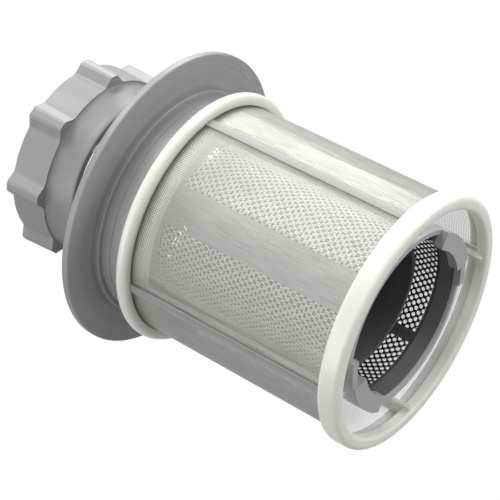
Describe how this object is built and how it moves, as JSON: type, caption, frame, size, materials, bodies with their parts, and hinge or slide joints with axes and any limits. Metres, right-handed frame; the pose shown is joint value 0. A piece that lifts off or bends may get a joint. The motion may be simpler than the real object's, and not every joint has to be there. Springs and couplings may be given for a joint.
{
  "type": "dishwasher filter",
  "caption": "Cylindrical dishwasher filter: a fine woven mesh cylinder on a flanged collar, with a perforated coarse strainer and a lobed handle that twists in it.",
  "frame": {"origin": "centre of the mesh cylinder's foot, which is the lowest face", "axes": "+Z along the filter's axis, from the mesh cylinder's foot up to the handle, as the filter hangs in the sump; +X along the middle of the plain side between two ribs"},
  "size_m": [0.095, 0.095, 0.1294],
  "materials": {
    "ivory_plastic": "satin",
    "woven_steel": "fine weave",
    "grey_plastic": "satin",
    "perforated_steel": "perforated"
  },
  "bodies": {
    "mesh_cylinder": {"foot_rim": "ivory_plastic", "top_rim": "ivory_plastic", "ribs": "ivory_plastic", "fine_mesh": "woven_steel"},
    "collar_group": {"flange": "grey_plastic", "collar": "grey_plastic"},
    "coarse_insert": {"coarse_cage": "grey_plastic", "coarse_sheet": "perforated_steel", "guide_tube": "grey_plastic", "handle_base": "grey_plastic", "handle_posts": "grey_plastic", "handle_grip": "grey_plastic"}
  },
  "joints": [
    {"name": "collar_pull", "type": "slide", "parent": "mesh_cylinder", "child": "collar_group", "axis": [0, 0, 1], "range_m": [0, 0.085]},
    {"name": "strainer_twist", "type": "hinge", "parent": "collar_group", "child": "coarse_insert", "pos_m": [0, 0, 0.09], "axis": [0, 0, 1], "range_deg": [0, 60]}
  ]
}
